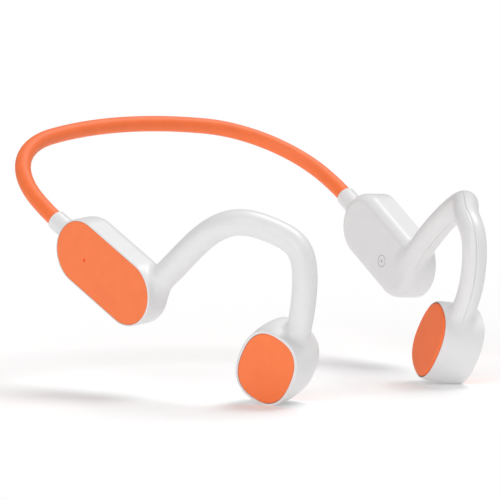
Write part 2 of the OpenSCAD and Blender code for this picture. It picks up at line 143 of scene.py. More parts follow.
def add_materials():
    """One finish for each material slot of the record."""
    return {
        "white_plastic": surface("white_plastic", (0.79, 0.79, 0.795), 0.34, 0.012, 160, 5200, 0.10),
        "orange_plastic": surface("orange_plastic", (0.98, 0.2, 0.05), 0.45, 0.025, 220, 4200, 0.22),
        "orange_silicone": surface("orange_silicone", (0.96, 0.18, 0.042), 0.52, 0.03, 260, 3600, 0.16),
        "white_silicone": surface("white_silicone", (0.78, 0.78, 0.785), 0.5, 0.02, 240, 3800, 0.16),
        "gasket_foam": surface("gasket_foam", (0.09, 0.09, 0.09), 0.85, 0.2, 900, 5000, 0.5),
        "spring_steel": surface("spring_steel", (0.62, 0.61, 0.6), 0.3, 0.06, 400, 6000, 0.1, 1),
        "plated_steel": surface("plated_steel", (0.72, 0.72, 0.73), 0.25, 0.05, 300, 6000, 0.08, 1),
        "cable_jacket": surface("cable_jacket", (0.06, 0.06, 0.065), 0.5, 0.15, 600, 5000, 0.2),
        "magnet": surface("magnet", (0.42, 0.42, 0.43), 0.35, 0.08, 500, 6000, 0.2, 1),
        "copper_wire": surface("copper_wire", (0.72, 0.33, 0.16), 0.3, 0.15, 2500, 9000, 0.6, 1),
        "circuit_board": surface("circuit_board", (0.02, 0.16, 0.07), 0.4, 0.35, 900, 3000, 0.3, 0, 0.3),
        "black_plastic": surface("black_plastic", (0.03, 0.03, 0.03), 0.45, 0.15, 600, 5000, 0.2),
        "gold_plate": surface("gold_plate", (0.85, 0.6, 0.24), 0.3, 0.08, 500, 6000, 0.1, 1),
        "battery_wrap": surface("battery_wrap", (0.5, 0.52, 0.55), 0.32, 0.06, 300, 2500, 0.3, 0.6),
        "mark_ink": surface("mark_ink", (0.33, 0.33, 0.34), 0.5, 0.08, 900, 5000, 0.1),
    }


# Mesh tools, in millimetres --------------------------------------------------------------

TETRA = np.array([[1, -1, -1], [-1, -1, 1], [-1, 1, -1], [1, 1, 1]], float)


def length(v):
    return np.sqrt((v * v).sum(-1))


def unit(v):
    return v / np.maximum(length(v), 1e-12)[..., None]


def gradient(function, points, step=0.01):
    """Direction in which a function of points grows, and its value, at each point."""
    values = [function(points + step * k) for k in TETRA]
    return sum(v[:, None] * k for v, k in zip(values, TETRA)) / (4 * step), sum(values) / 4


def onto(function, points, rounds=3):
    """Points moved straight on to the surface where the function is zero."""
    for _ in range(rounds):
        slope, value = gradient(function, points)
        points = points - (value / (slope * slope).sum(1))[:, None] * slope
    return points


def surface_nets(values, origin, pitch):
    """Mesh of the surface where a grid of values changes sign, negative inside."""
    inside = values < 0
    low = [slice(0, n - 1) for n in values.shape]
    high = [slice(1, n) for n in values.shape]
    corners = [(x, y, z) for x in (0, 1) for y in (0, 1) for z in (0, 1)]
    count = sum(inside[tuple((low, high)[c[a]][a] for a in range(3))].astype(int) for c in corners)
    active = (count > 0) & (count < 8)
    cells = np.argwhere(active)
    index = np.full(active.shape, -1)
    index[active] = np.arange(len(cells))
    total, crossings = np.zeros((len(cells), 3)), np.zeros(len(cells))
    for a in corners:
        for axis in range(3):
            if a[axis] == 1:
                continue
            b = tuple(c + (k == axis) for k, c in enumerate(a))
            at_a, at_b = (values[tuple((cells + np.array(c)).T)] for c in (a, b))
            crossed = (at_a < 0) != (at_b < 0)
            share = np.where(crossed, at_a / np.where(crossed, at_a - at_b, 1), 0)
            point = np.array(a, float) + share[:, None] * (np.array(b) - np.array(a))
            total += np.where(crossed[:, None], point, 0)
            crossings += crossed
    points = origin + pitch * (cells + total / crossings[:, None])
    triangles = []
    for axis in range(3):
        u, v = np.eye(3, dtype=int)[(axis + 1) % 3], np.eye(3, dtype=int)[(axis + 2) % 3]
        first = inside[tuple(low[k] if k == axis else slice(None) for k in range(3))]
        second = inside[tuple(high[k] if k == axis else slice(None) for k in range(3))]
        edges = np.argwhere(first != second)
        rising = first[tuple(edges.T)]
        quads = [index[tuple((edges + k).T)] for k in (-u - v, -v, 0 * u, -u)]
        quads = np.column_stack(quads)
        quads = np.where(rising[:, None], quads, quads[:, ::-1])
        short = length(points[quads[:, 0]] - points[quads[:, 2]]) <= length(
            points[quads[:, 1]] - points[quads[:, 3]])
        for chosen, picks in ((short, (0, 1, 2, 0, 2, 3)), (~short, (0, 1, 3, 1, 2, 3))):
            triangles.append(quads[chosen][:, picks].reshape(-1, 3))
    return points, np.concatenate(triangles)


def smooth_mesh(points, triangles, share):
    """Each point moved part of the way to the middle of its neighbours."""
    total, count = np.zeros_like(points), np.zeros(len(points))
    for a, b in ((0, 1), (1, 2), (2, 0)):
        np.add.at(total, triangles[:, a], points[triangles[:, b]])
        np.add.at(total, triangles[:, b], points[triangles[:, a]])
        np.add.at(count, triangles[:, a], 1)
        np.add.at(count, triangles[:, b], 1)
    return points + share * (total / count[:, None] - points)


class Mesh:
    """Triangle mesh that can be split along the lines where functions are zero."""

    def __init__(self, points, triangles, skin=None):
        self.points, self.triangles, self.skin = points, triangles, skin
        self.fixed = np.zeros(len(points), bool)

    def copy(self):
        other = Mesh(self.points.copy(), self.triangles.copy(), self.skin)
        other.fixed = self.fixed.copy()
        return other

    def to_line(self, function, points, rounds=2):
        """Points moved along the skin to where the function is zero."""
        for _ in range(rounds):
            slope, value = gradient(function, points)
            if self.skin is not None:
                normal = unit(gradient(self.skin, points)[0])
                slope = slope - (slope * normal).sum(1)[:, None] * normal
            points = points - (value / np.maximum((slope * slope).sum(1), 0.05))[:, None] * slope
            if self.skin is not None:
                points = onto(self.skin, points, 1)
        return points

    def split(self, function, snap=0.05):
        """Puts an edge wherever the function changes sign."""
        value = function(self.points)
        near = (np.abs(value) < snap) & ~self.fixed
        if near.any():
            self.points[near] = self.to_line(function, self.points[near])
            value[near] = 0
        value[np.abs(value) < 1e-4] = 0
        self.fixed |= near
        t = self.triangles
        sides = np.sign(value)[t]
        crossed = np.column_stack([sides[:, k] * sides[:, (k + 1) % 3] < 0 for k in range(3)])
        hit = crossed.any(1)
        if not hit.any():
            return self
        pairs = np.concatenate([t[crossed[:, k]][:, [k, (k + 1) % 3]] for k in range(3)])
        keys, inverse = np.unique(np.sort(pairs, 1), axis=0, return_inverse=True)
        inverse = inverse.ravel()
        share = value[keys[:, 0]] / (value[keys[:, 0]] - value[keys[:, 1]])
        a, b = self.points[keys[:, 0]], self.points[keys[:, 1]]
        fresh = self.to_line(function, a + share[:, None] * (b - a))
        middle = np.full(t.shape, -1)
        start = 0
        for k in range(3):
            n = int(crossed[:, k].sum())
            middle[crossed[:, k], k] = len(self.points) + inverse[start:start + n]
            start += n
        out = [t[~hit]]
        for k in range(3):
            i, j, l = k, (k + 1) % 3, (k + 2) % 3
            one = crossed[:, i] & ~crossed[:, j] & ~crossed[:, l]
            q, m = t[one], middle[one]
            out += [np.column_stack([q[:, i], m[:, i], q[:, l]]),
                    np.column_stack([m[:, i], q[:, j], q[:, l]])]
            two = crossed[:, i] & crossed[:, l]
            q, m = t[two], middle[two]
            out += [np.column_stack([q[:, i], m[:, i], m[:, l]]),
                    np.column_stack([m[:, i], q[:, j], q[:, l]]),
                    np.column_stack([m[:, i], q[:, l], m[:, l]])]
        self.points = np.concatenate([self.points, fresh])
        self.fixed = np.concatenate([self.fixed, np.ones(len(fresh), bool)])
        self.triangles = np.concatenate(out)
        return self

    def middles(self):
        return self.points[self.triangles].mean(1)

    def keep(self, mask):
        """The chosen triangles as a mesh of their own."""
        used, inverse = np.unique(self.triangles[mask], return_inverse=True)
        other = Mesh(self.points[used], inverse.reshape(-1, 3), self.skin)
        other.fixed = self.fixed[used]
        return other

    def borders(self):
        """Directed edges that only one triangle has."""
        t = self.triangles
        edges = np.concatenate([t[:, [0, 1]], t[:, [1, 2]], t[:, [2, 0]]])
        n = len(self.points)
        own, back = edges[:, 0] * n + edges[:, 1], edges[:, 1] * n + edges[:, 0]
        return edges[~np.isin(own, back)]


def add_piece(name, points, faces, material, body=None, mirrored=False, normals=None):
    """Object from a mesh in millimetres in the row frame. normals gives one per face corner."""
    points = np.array(points, float) * MM
    faces = [list(f) for f in faces] if not isinstance(faces, np.ndarray) else faces.tolist()
    if mirrored:
        points = points * [-1, 1, 1]
        faces = [f[::-1] for f in faces]
    data = bpy.data.meshes.new(name)
    data.from_pydata(points.tolist(), [], faces)
    data.polygons.foreach_set("use_smooth", np.ones(len(faces), bool))
    data.materials.append(material)
    if normals is not None:
        if mirrored:
            normals = normals.reshape(-1, 3, 3)[:, ::-1] * [-1, 1, 1]
        data.normals_split_custom_set(normals.reshape(-1, 3).tolist())
    piece = bpy.data.objects.new(name, data)
    bpy.context.scene.collection.objects.link(piece)
    if body:
        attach(piece, body)
    return piece


def add_shell(name, mesh, relief, material, body, mirrored, thickness=0.4):
    """Thin shell with its outside on the mesh. relief gives how deep each groove is at a point."""
    normal = unit(gradient(mesh.skin, mesh.points)[0])
    slope, depth = gradient(relief, mesh.points)
    slope -= (slope * normal).sum(1)[:, None] * normal
    outer = mesh.points - depth[:, None] * normal
    inner = mesh.points - thickness * normal
    shaded = unit(normal + slope)
    t, n = mesh.triangles, len(outer)
    edges = mesh.borders()
    walls = np.concatenate([
        np.column_stack([edges[:, 1], edges[:, 0], edges[:, 0] + n]),
        np.column_stack([edges[:, 1], edges[:, 0] + n, edges[:, 1] + n])])
    points = np.concatenate([outer, inner])
    corner = points[walls]
    flat = unit(np.cross(corner[:, 1] - corner[:, 0], corner[:, 2] - corner[:, 0]))
    faces = np.concatenate([t, t[:, ::-1] + n, walls])
    normals = np.concatenate([shaded[t], -normal[t[:, ::-1]], np.repeat(flat[:, None], 3, 1)])
    return add_piece(name, points, faces, material, body, mirrored, normals)


def weld(points, faces):
    """Merges points in the same place and drops the faces that vanish."""
    _, first, inverse = np.unique(np.round(points, 5), axis=0, return_index=True, return_inverse=True)
    inverse = inverse.ravel()
    out = []
    for f in faces:
        ring = [inverse[i] for i in f]
        ring = [i for k, i in enumerate(ring) if i != ring[k - 1]]
        if len(ring) > 2:
            out.append(ring)
    return points[first], out


def loft(rings, closed=False):
    """Points and faces between equal closed rings of points, the first one outermost."""
    n, count = len(rings[0]), len(rings)
    faces = [(k * n + i, (k + 1) % count * n + i, (k + 1) % count * n + (i + 1) % n, k * n + (i + 1) % n)
             for k in range(count - (0 if closed else 1)) for i in range(n)]
    return np.concatenate(rings), faces


def oval_ring(radius, height, full):
    """Ring inside an outline like the transducer's. full is the outline's short half width, and
    radius is the ring's."""
    angle = np.linspace(0, 2 * np.pi, 144, endpoint=False)
    power = 2 / DRIVER_POWER
    long = DRIVER_LONG - DRIVER_SHORT + full
    outline = [half * np.sign(side) * np.abs(side) ** power
               for half, side in ((long, np.cos(angle)), (full, np.sin(angle)))]
    return np.column_stack([*(radius / full * np.array(outline)), np.full(144, height)])


def oval_body(full, profile):
    """Closed solid with the transducer's outline, from a half cross section."""
    points, faces = loft([oval_ring(r, z, full) for r, z in profile])
    return weld(points, faces)


def slot_ring(half, radius, height):
    """Slot-shaped outline, in steps that stay the same from one ring to the next."""
    turn = np.linspace(-np.pi / 2, np.pi / 2, 49)
    steps = max(2, int(round(half)) * 2)
    run = np.linspace(half, -half, steps + 1)[1:-1]
    centre = np.concatenate([np.full(49, half), run, np.full(49, -half), -run])
    angle = np.concatenate([turn, np.full(len(run), np.pi / 2), turn + np.pi,
                            np.full(len(run), -np.pi / 2)])
    return np.column_stack([centre + radius * np.cos(angle), radius * np.sin(angle),
                            np.full(len(angle), height)])


def slot_body(half, profile):
    """Closed solid from a half cross section that runs from the middle of its bottom to the
    middle of its top."""
    points, faces = loft([slot_ring(half, r, z) for r, z in profile])
    return weld(points, faces)


def arc(centre, radius, start, end, steps=6):
    """Points of a rounded corner in a cross section."""
    angle = np.radians(np.linspace(start, end, steps + 1))
    return [(centre[0] + radius * np.cos(a), centre[1] + radius * np.sin(a)) for a in angle]


def triangulated(faces):
    return np.array([(f[0], f[k], f[k + 1]) for f in faces for k in range(1, len(f) - 1)])


# Shape of one unit, drawn on the left ----------------------------------------------------

def sine(angle):
    return np.sin(np.radians(angle))


def cosine(angle):
    return np.cos(np.radians(angle))


def forward(toe):
    return np.array([-sine(toe), -cosine(toe), 0])


def outward(toe):
    return np.array([cosine(toe), -sine(toe), 0])


def upward(toe, roll):
    return cosine(roll) * np.array([0, 0, 1]) - sine(roll) * outward(toe)


class Place:
    """Local frame, from its origin and the directions of its X and Z."""

    def __init__(self, origin, x, z):
        self.origin = np.array(origin, float) + STAND
        self.axes = np.column_stack([x, np.cross(z, x), z])

    def local(self, points):
        return (points - self.origin) @ self.axes

    def world(self, points):
        return self.origin + np.asarray(points) @ self.axes.T


def facing(toe, roll):
    return cosine(roll) * outward(toe) + sine(roll) * np.array([0, 0, 1])


# Pod: a slot outline, with the cover on its outside and a big rounding towards the head that
# ends in a faint crease round the flat inner face
POD_TOE, POD_ROLL, POD_PITCH = 5.8, -3.9, 29.6
POD_HALF, POD_R, POD_T = 12, 11.4, 11.2
POD_ROUND, POD_SWELL, CREASE = 4.4, 0.4, 0.3
# Rounding of a pod's outer edge, rim round its cover, and gap round every plate
EDGE, RIM, GAP = 0.4, 0.6, 0.06
# Collar: where it leaves the pod's own neck, and where its mouth is, from the pod's middle
COLLAR_R, COLLAR_FROM, COLLAR_REACH = 3.45, 25.4, 31
MOUTH_EDGE = 0.45
# Socket for the sleeve in the collar, and how far the sleeve goes in
SOCKET_R, INSERT = 2.85, 3
pod_axis = cosine(POD_PITCH) * forward(POD_TOE) - sine(POD_PITCH) * upward(POD_TOE, POD_ROLL)
pod = Place([61.2, 17.5, -5.2], pod_axis, facing(POD_TOE, POD_ROLL))

DRIVER_TOE, DRIVER_ROLL, DRIVER_LEAN = 18.9, -11.7, 30
# Transducer: half widths of its rounded outline, whose power makes it fuller than an ellipse,
# and how far it reaches outwards and towards the head
DRIVER_LONG, DRIVER_SHORT, DRIVER_POWER = 13.2, 10.8, 2.45
DRIVER_OUT, DRIVER_IN = 7.6, 7.1
DRIVER_BULGE = 0.6
DRIVER_EDGE = 0.5
CAP_RIM, PAD_RIM = 1.05, 0.5
PAD_BACK, PAD_FRONT = 6.3, 7.8
# Gap round the pad, and rounding of the transducer's inner edge
PAD_GAP, MOUTH_ROUND = 0.1, 0.22
driver = Place(
    [37.9, -39.7, -32.2],
    cosine(DRIVER_LEAN) * upward(DRIVER_TOE, DRIVER_ROLL) + sine(DRIVER_LEAN) * forward(DRIVER_TOE),
    facing(DRIVER_TOE, DRIVER_ROLL))

HOOK = np.array([
    [58, 1, -10], [55, -10, 0], [54.5, -23, 10.5], [51, -35.5, 16],
    [41.5, -43.5, 11.5], [37.5, -54.5, 6.5], [37.5, -52.5, -14], [35.5, -46, -26]]) + STAND
HOOK_R, HOOK_TAPER = 4.5, 0.4
# Distance of the hook's seam from its middle, as a share of its radius, and the seam's half
# width, round-off and depth
SEAM_SHIFT, SEAM_HALF, SEAM_ROUND, SEAM_DEPTH = 0.34, 0.03, 0.55, 0.2
# Fillet where the hook meets the pod and the transducer
FILLET = 2.2
HOOK_NET = np.concatenate([[2 * HOOK[0] - HOOK[1]], HOOK, [2 * HOOK[-1] - HOOK[-2]]])
HOOK_END = len(HOOK) - 1
HOOK_SIDE = unit(outward((POD_TOE + DRIVER_TOE) / 2))
HOOK_SAMPLES = np.linspace(0, HOOK_END, 141)


def hook_at(u, order=0):
    """Point of the hook's centreline, or its first or second derivative."""
    i = np.clip(np.floor(u).astype(int), 0, HOOK_END - 1)
    t = u - i
    weights = [
        ((1 - t) ** 3, 3 * t ** 3 - 6 * t ** 2 + 4, -3 * t ** 3 + 3 * t ** 2 + 3 * t + 1, t ** 3),
        (-3 * (1 - t) ** 2, 9 * t ** 2 - 12 * t, -9 * t ** 2 + 6 * t + 3, 3 * t ** 2),
        (6 * (1 - t), 18 * t - 12, -18 * t + 6, 6 * t)][order]
    return np.einsum("kn,nkj->nj", np.array(weights) / 6, HOOK_NET[i[:, None] + np.arange(4)])


def hook_nearest(points):
    """Path value of the nearest point of the hook's centreline."""
    line = hook_at(HOOK_SAMPLES)
    reach = (line * line).sum(1)
    u = np.concatenate([HOOK_SAMPLES[(reach - 2 * part @ line.T).argmin(1)]
                        for part in np.array_split(points, len(points) // 50000 + 1)])
    for _ in range(3):
        away, first, second = points - hook_at(u), hook_at(u, 1), hook_at(u, 2)
        bend = (away * second).sum(1) - (first * first).sum(1)
        step = (away * first).sum(1) / np.where(bend < -1, bend, -1e9)
        u = np.clip(u - np.clip(step, -0.06, 0.06), 0, HOOK_END)
    return u


def hook_radius(u):
    """The tube thins evenly from the pod to the transducer."""
    return HOOK_R - HOOK_TAPER * np.clip((u - 0.62) / 5.88, 0, 1)


def hook_distance(points):
    u = hook_nearest(points)
    return length(points - hook_at(u)) - hook_radius(u)


def hook_lateral(points):
    """Distance from the seam of the hook's two shells, which lies on the side of the head."""
    u = hook_nearest(points)
    heading = unit(hook_at(u, 1))
    side = unit(HOOK_SIDE - (heading @ HOOK_SIDE)[:, None] * heading)
    return ((points - hook_at(u)) * side).sum(1) + SEAM_SHIFT * hook_radius(u)


def seam_reach(points):
    """From 0 on the stretch next to the pod to 1 beyond the top of the hook."""
    return np.clip((hook_nearest(points) - 2.7) / 0.5, 0, 1)


def round_max(a, b, r):
    return np.minimum(np.maximum(a, b), -r) + np.hypot(np.maximum(a + r, 0), np.maximum(b + r, 0))


def round_min(a, b, r):
    return np.maximum(np.minimum(a, b), r) - np.hypot(np.maximum(r - a, 0), np.maximum(r - b, 0))


def slot_distance(local, half, radius):
    return np.hypot(np.maximum(np.abs(local[:, 0]) - half, 0), local[:, 1]) - radius


def oval_distance(local):
    """Distance from the transducer's rounded outline, which is fuller than an ellipse."""
    sizes = np.array([DRIVER_LONG, DRIVER_SHORT])
    share = np.maximum(np.abs(local[:, :2]) / sizes, 1e-4)
    size = (share ** DRIVER_POWER).sum(1) ** (1 / DRIVER_POWER)
    slope = share ** (DRIVER_POWER - 1) / size[:, None] ** (DRIVER_POWER - 1) / sizes
    return (size - 1) / length(slope)


def pod_side(points):
    return slot_distance(pod.local(points), POD_HALF, POD_R)


def pod_top(points):
    return pod.local(points)[:, 2] - POD_T / 2


def pod_distance(points):
    q = pod.local(points)
    body = round_max(slot_distance(q, POD_HALF, POD_R), q[:, 2] - POD_T / 2, EDGE)
    body = round_max(body, -q[:, 2] - POD_T / 2 - POD_SWELL, POD_ROUND)
    body = round_max(body, -q[:, 2] - POD_T / 2, CREASE)
    neck = np.maximum(np.maximum(np.hypot(q[:, 1], q[:, 2]) - COLLAR_R, q[:, 0] + 14), -29 - q[:, 0])
    return round_min(body, neck, 1.1)


def driver_side(points):
    q = driver.local(points)
    bulge = DRIVER_BULGE * np.clip(1 - ((q[:, 2] + 0.6) / 7.4) ** 2, 0, 1)
    return oval_distance(q) - bulge


def driver_top(points):
    return driver.local(points)[:, 2] - DRIVER_OUT


def driver_distance(points):
    body = round_max(driver_side(points), driver_top(points), DRIVER_EDGE)
    return round_max(body, -driver.local(points)[:, 2] - DRIVER_IN, MOUTH_ROUND)


def unit_distance(points):
    hooked = round_min(pod_distance(points), hook_distance(points), FILLET)
    return round_min(hooked, driver_distance(points), FILLET)


def unit_mesh(pitch):
    """Outside of one unit, as one mesh of the surface where its distance is zero."""
    names = ["pod_housing", "collar", "hook_outer_shell", "transducer_housing"]
    boxes = [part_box("left_" + n) for n in names]
    low = np.min([b[0] for b in boxes], 0) / MM - 3
    high = np.max([b[1] for b in boxes], 0) / MM + 3
    step = 4
    count = np.ceil((high - low) / (pitch * step)).astype(int)
    coarse = low + pitch * step * np.stack(np.meshgrid(*map(np.arange, count), indexing="ij"), -1)
    rough = unit_distance(coarse.reshape(-1, 3)).reshape(count)
    values = rough.repeat(step, 0).repeat(step, 1).repeat(step, 2)
    near = np.argwhere(np.abs(values) < step * pitch * 1.8 + 1)
    offset = pitch * (step - 1) / 2
    values[tuple(near.T)] = unit_distance(low - offset + pitch * near)
    points, triangles = surface_nets(values, low - offset, pitch)
    points = onto(unit_distance, points)
    for _ in range(2):
        points = onto(unit_distance, smooth_mesh(points, triangles, 0.5), 2)
    return Mesh(points, triangles, unit_distance)


def above(function, height):
    """The function where the height is positive, and no less than the depth below that."""
    return lambda p: np.maximum(function(p), -height(p))


def cover_zone(points):
    return pod.local(points)[:, 2] - 3.5


def cap_zone(points):
    return driver.local(points)[:, 2] - 5


def pad_zone(points):
    return -driver.local(points)[:, 2] - 6.5


def housing_zone(points):
    return -driver.local(points)[:, 2] - 6


def split_features(mesh):
    mesh.split(lambda p: pod.local(p)[:, 0] + COLLAR_FROM)
    mesh.split(above(lambda p: pod_side(p) + RIM - GAP, cover_zone))
    mesh.split(above(lambda p: driver_side(p) + CAP_RIM - GAP, cap_zone))
    mesh.split(above(lambda p: driver_side(p) + PAD_RIM - PAD_GAP, pad_zone), 0.03)
    mesh.split(above(lambda p: driver_side(p) + MOUTH_ROUND, housing_zone), 0.02)
    for side, top, edge, zone in ((pod_side, pod_top, EDGE, cover_zone),
                                  (driver_side, driver_top, DRIVER_EDGE, cap_zone)):
        mesh.split(above(lambda p: side(p) + edge, zone), 0.03)
        mesh.split(above(lambda p: -top(p) - edge, zone), 0.03)
        for shift in (0, -0.25, 0.25):
            mesh.split(above(lambda p: side(p) - top(p) + shift, zone), 0.03)
    mesh.split(lambda p: pod_distance(p) - hook_distance(p))
    mesh.split(lambda p: driver_distance(p) - hook_distance(p))
    for level in (SEAM_HALF, 0.22, SEAM_ROUND):
        for side in (-1, 1):
            mesh.split(lambda p: hook_lateral(p) - side * level, 0.03)


def seam_relief(points):
    """Softened edges of the hook's seam, which fades out towards the pod and the transducer."""
    near = np.minimum(pod_distance(points), driver_distance(points))
    fade = np.clip((near - 1.2) / 3, 0, 1) * seam_reach(points)
    return SEAM_DEPTH * fade * np.clip(1 - np.abs(hook_lateral(points)) / SEAM_ROUND, 0, 1) ** 2


def flat(points):
    """Relief of a surface with no groove."""
    return np.zeros(len(points))


# Buttons on the right pod and the port on the left one, both on the pod's lower side
BUTTONS, BUTTON_R, BUTTON_Z = (-8, 0, 8), 2.0, 1.3
FLAP_W, FLAP_H, FLAP_T, PORT_Z = 12.7, 4.9, 0.7, 1.0
PORT_W, PORT_H = 9.1, 3.4


def button_hole(points):
    q = pod.local(points)
    apart = np.min([np.hypot(q[:, 0] - x, q[:, 2] - BUTTON_Z) for x in BUTTONS], 0)
    return np.maximum(apart - BUTTON_R - 0.12, 5 - q[:, 1])


def pocket(points):
    """Recess for the flap."""
    q = pod.local(points)
    a, b = np.abs(q[:, 0]) - FLAP_W / 2 - 0.22, np.abs(q[:, 2] - PORT_Z) - FLAP_H / 2 - 0.17
    return np.maximum(round_max(a, b, 0.15), 5 - q[:, 1])


def add_unit_shells(mesh, side, body, materials):
    """The four white housings of a unit. Each triangle goes to the solid that it is nearest."""
    mirrored = side == "right"
    opening = button_hole if mirrored else pocket
    mesh = mesh.copy().split(opening, 0.03)
    at = mesh.middles()
    to_pod, to_hook, to_driver = pod_distance(at), hook_distance(at), driver_distance(at)
    in_pod = (to_pod < to_hook) & (to_pod < to_driver)
    in_driver = ~in_pod & (to_driver < to_hook)
    in_hook = ~in_pod & ~in_driver
    lateral = hook_lateral(at)
    under_collar = pod.local(at)[:, 0] < -COLLAR_FROM
    under_cover = (pod_side(at) < GAP - RIM) & (cover_zone(at) > 0)
    under_cap = (driver_side(at) < GAP - CAP_RIM) & (cap_zone(at) > 0)
    under_pad = (driver_side(at) < PAD_GAP - PAD_RIM) & (pad_zone(at) > 0)
    pieces = (
        ("pod_shell", "pod_housing", in_pod & ~(under_collar | (opening(at) < 0) | under_cover), flat),
        ("transducer_shell", "transducer_housing", in_driver & ~(under_cap | under_pad), flat),
        ("hook_outer", "hook_outer_shell", in_hook & (lateral > SEAM_HALF), seam_relief),
        ("hook_inner", "hook_inner_shell", in_hook & (lateral < -SEAM_HALF), seam_relief))
    for name, node, mask, relief in pieces:
        piece = add_shell(f"{side}_{name}", mesh.keep(mask), relief, materials["white_plastic"],
                          body, mirrored)
        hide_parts(f"{side}_{node}")


# Covers, pads, collars and marks ---------------------------------------------------------

# Middle of the ring and of its dots, on a pod's inner face
MARK = (6.65, 2.07)


def plate_profile(radius, low, high, edge, crown=0.0):
    """Half section of a plate, from the middle of its back to the middle of its face."""
    inside = radius - edge
    back = [(r, low) for r in np.linspace(0, radius - 0.1, 12)]
    wall = [(radius, low + 0.1)]
    corner = arc((inside, high - edge), edge, 0, 90)
    face = [(r, high + crown * (1 - (r / inside) ** 2)) for r in np.linspace(inside, 0, 23)[1:]]
    return back + wall + corner + face


def add_cover(side, body, material):
    points, faces = slot_body(POD_HALF, plate_profile(POD_R - RIM, POD_T / 2 - 0.9, POD_T / 2, 0.25))
    mesh = Mesh(points, triangulated(faces))
    if side == "right":
        drill(mesh, (-9, 1), 0.55, POD_T / 2, 0.7)
    piece = add_piece(f"{side}_cover", pod.world(mesh.points), mesh.triangles, material,
                      body, side == "right")
    crease(piece)
    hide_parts(f"{side}_pod_cover")


def drill(mesh, centre, radius, top, depth):
    """Round blind hole with a small countersink in a flat face at height `top`."""
    apart = lambda p: np.hypot(p[:, 0] - centre[0], p[:, 1] - centre[1])
    for r in (1.6, 1.0, radius + 0.12):
        mesh.split(lambda p: np.maximum(apart(p) - r, top - 0.3 - p[:, 2]), 0.02)
    at = mesh.middles()
    kept = mesh.keep(~((apart(at) < radius + 0.12) & (at[:, 2] > top - 0.3)))
    rim = kept.borders()
    used, inverse = np.unique(rim, return_inverse=True)
    inverse = inverse.reshape(-1, 2)
    points, triangles = [kept.points], [kept.triangles]
    ring = kept.points[used]
    last, count = rim, len(kept.points)
    for share, down in ((radius / (radius + 0.12), 0.1), (radius / (radius + 0.12), depth)):
        fresh = np.array([*centre, top - down]) + (ring - [*centre, top]) * [share, share, 0]
        points.append(fresh)
        below = count + inverse
        triangles += [np.column_stack([last[:, 1], last[:, 0], below[:, 0]]),
                      np.column_stack([last[:, 1], below[:, 0], below[:, 1]])]
        last, count = below, count + len(fresh)
    points.append(np.array([[*centre, top - depth]]))
    triangles.append(np.column_stack([last[:, 1], last[:, 0], np.full(len(last), count)]))
    mesh.points, mesh.triangles = np.concatenate(points), np.concatenate(triangles)


def crease(piece, angle=0.6):
    """Hard edges where faces meet at more than an angle, in radians."""
    piece.data.set_sharp_from_angle(angle=angle)


def add_cap(side, body, material):
    full = DRIVER_SHORT - CAP_RIM
    points, faces = oval_body(full, plate_profile(full, DRIVER_OUT - 1.2, DRIVER_OUT, 0.3, 0.15))
    piece = add_piece(f"{side}_cap", driver.world(points), faces, material,
                      body, side == "right")
    crease(piece)
    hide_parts(f"{side}_transducer_cap")


def add_pad(side, body, material):
    """Soft pad with a full rounded edge and a crowned face."""
    edge = 0.9
    low, high = -PAD_FRONT, -PAD_BACK
    radius = DRIVER_SHORT - PAD_RIM - 0.02
    inside = radius - edge
    face = [(r, low - 0.2 * (1 - (r / inside) ** 2)) for r in np.linspace(0, inside, 20)]
    corner = arc((inside, low + edge), edge, -90, 0, 10)[1:]
    back = [(r, high) for r in np.linspace(radius - 0.1, 0, 12)]
    points, faces = oval_body(radius, face + corner + back)
    piece = add_piece(f"{side}_pad", driver.world(points), faces, material,
                      body, side == "right")
    crease(piece, 0.9)
    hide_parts(f"{side}_vibration_pad")


def revolved(profile, place, steps=64):
    """Closed ring turned about the pod's X axis. The profile is in distance along it and radius."""
    turn = np.linspace(0, 2 * np.pi, steps, endpoint=False)
    rings = [np.column_stack([np.full(steps, x), r * np.cos(turn), r * np.sin(turn)]) for x, r in profile]
    points, faces = loft(rings, closed=True)
    return place.world(points), faces


def add_collar(side, body, material):
    mouth, start, bore = -COLLAR_REACH, -COLLAR_FROM - 0.04, 2.0
    profile = [(start, bore), (start, COLLAR_R - 0.08), (start - 0.08, COLLAR_R)]
    profile += [(mouth + MOUTH_EDGE - MOUTH_EDGE * sine(a), COLLAR_R - MOUTH_EDGE + MOUTH_EDGE * cosine(a))
                for a in range(0, 91, 15)]
    profile += [(mouth, SOCKET_R + 0.1), (mouth + 0.1, SOCKET_R), (mouth + INSERT, SOCKET_R),
                (mouth + INSERT, bore)]
    points, faces = revolved(profile, pod)
    piece = add_piece(f"{side}_collar_shell", points, faces, material, body,
                      side == "right")
    crease(piece)
    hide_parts(f"{side}_collar")


def add_mark(side, body, material):
    """Plain ring on the inner face of a pod, with one dot on the left and two on the right."""
    dots = [0] if side == "left" else [-0.7, 0.7]
    shapes = [(0, 1.92, 2.14)] + [(x, 0, 0.42) for x in dots]
    low, high = -POD_T / 2 + 0.05, -POD_T / 2 - 0.015
    turn = np.linspace(0, 2 * np.pi, 48, endpoint=False)
    points, faces, count = [], [], 0
    for x, inner, outer in shapes:
        section = [(inner, low), (outer, low), (outer, high), (inner, high)]
        rings = [np.column_stack([MARK[0] + x + r * np.cos(turn), MARK[1] + r * np.sin(turn),
                                  np.full(48, z)]) for r, z in section]
        ring_points, ring_faces = loft(rings, closed=True)
        ring_points, ring_faces = weld(ring_points, [f[::-1] for f in ring_faces])
        faces += [[i + count for i in f] for f in ring_faces]
        points.append(ring_points)
        count += len(ring_points)
    piece = add_piece(f"{side}_mark", pod.world(np.concatenate(points)), faces, material,
                      body, side == "right")
    crease(piece)


